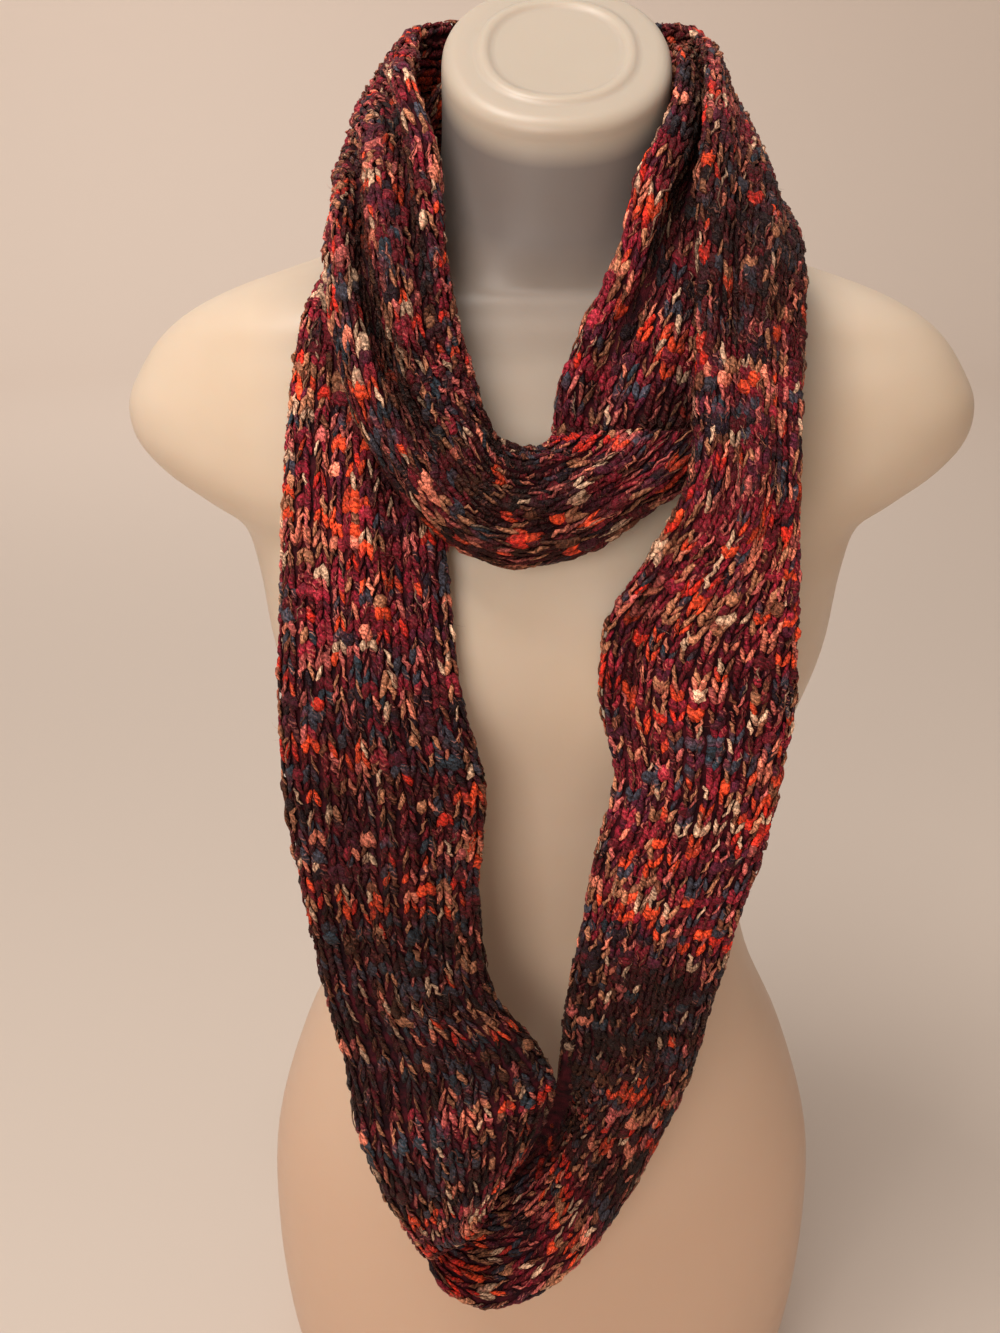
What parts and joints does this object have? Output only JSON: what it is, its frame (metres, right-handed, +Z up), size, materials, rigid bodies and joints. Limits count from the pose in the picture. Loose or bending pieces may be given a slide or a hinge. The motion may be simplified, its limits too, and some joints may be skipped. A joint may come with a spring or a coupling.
{
  "type": "infinity scarf on a dress form",
  "caption": "Knitted infinity scarf wound twice round the neck of a limbless dress form, a short loop at the neck and a long loop hanging down the front.",
  "frame": {"origin": "middle of the dress form's flat base, where it stands", "axes": "+Z up, the form faces -Y, +X to the right as seen from the front"},
  "size_m": [0.442, 0.2745, 0.8646],
  "materials": {
    "knit_legs": "slub yarn knit in burgundy, orange-red, tan and dark teal",
    "knit_neck": "slub yarn knit in burgundy, orange-red, tan and dark teal",
    "form_shell": "milky translucent moulded plastic, satin"
  },
  "bodies": {
    "root": {"form_body": "form_shell", "scarf_left_leg": "knit_legs", "scarf_right_leg": "knit_legs", "scarf_loop_bottom": "knit_legs", "scarf_inner_back": "knit_neck", "scarf_outer_back": "knit_neck", "scarf_neck_left": "knit_neck", "scarf_neck_right": "knit_neck", "scarf_neck_front": "knit_neck"}
  },
  "joints": []
}
